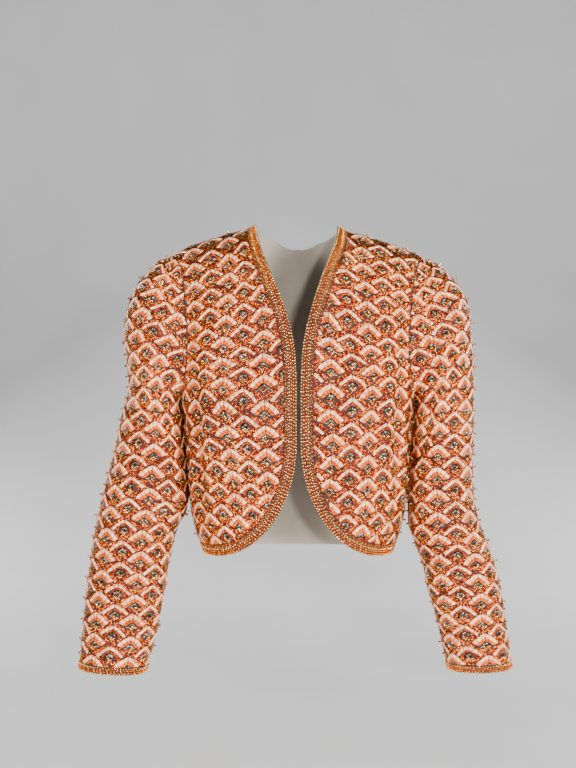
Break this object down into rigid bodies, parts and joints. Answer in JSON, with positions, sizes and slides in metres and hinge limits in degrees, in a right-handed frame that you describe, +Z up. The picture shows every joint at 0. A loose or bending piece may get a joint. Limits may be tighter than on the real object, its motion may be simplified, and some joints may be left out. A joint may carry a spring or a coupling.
{
  "type": "bolero jacket",
  "caption": "Open-front, waist-length bolero jacket with long padded-shoulder sleeves, an all-over scale pattern in beads and a beaded braid round its edges.",
  "frame": {"origin": "midway between the two points where the shoulder seams meet the neckline, in the plane of the side seams", "axes": "+Z up, -Y the way the wearer faces, +X towards the wearer's left"},
  "size_m": [0.5786, 0.2368, 0.5974],
  "materials": {
    "beaded_cloth": "silk covered with glass beads",
    "beaded_braid": "rows of small gold and copper coloured beads"
  },
  "bodies": {
    "root": {"front_right": "beaded_cloth", "front_left": "beaded_cloth", "back": "beaded_cloth", "sleeve_right": "beaded_cloth", "sleeve_left": "beaded_cloth", "front_braid_right": "beaded_braid", "front_braid_left": "beaded_braid", "neck_braid_back": "beaded_braid", "hem_braid_back": "beaded_braid", "cuff_braid_right": "beaded_braid", "cuff_braid_left": "beaded_braid"}
  },
  "joints": []
}
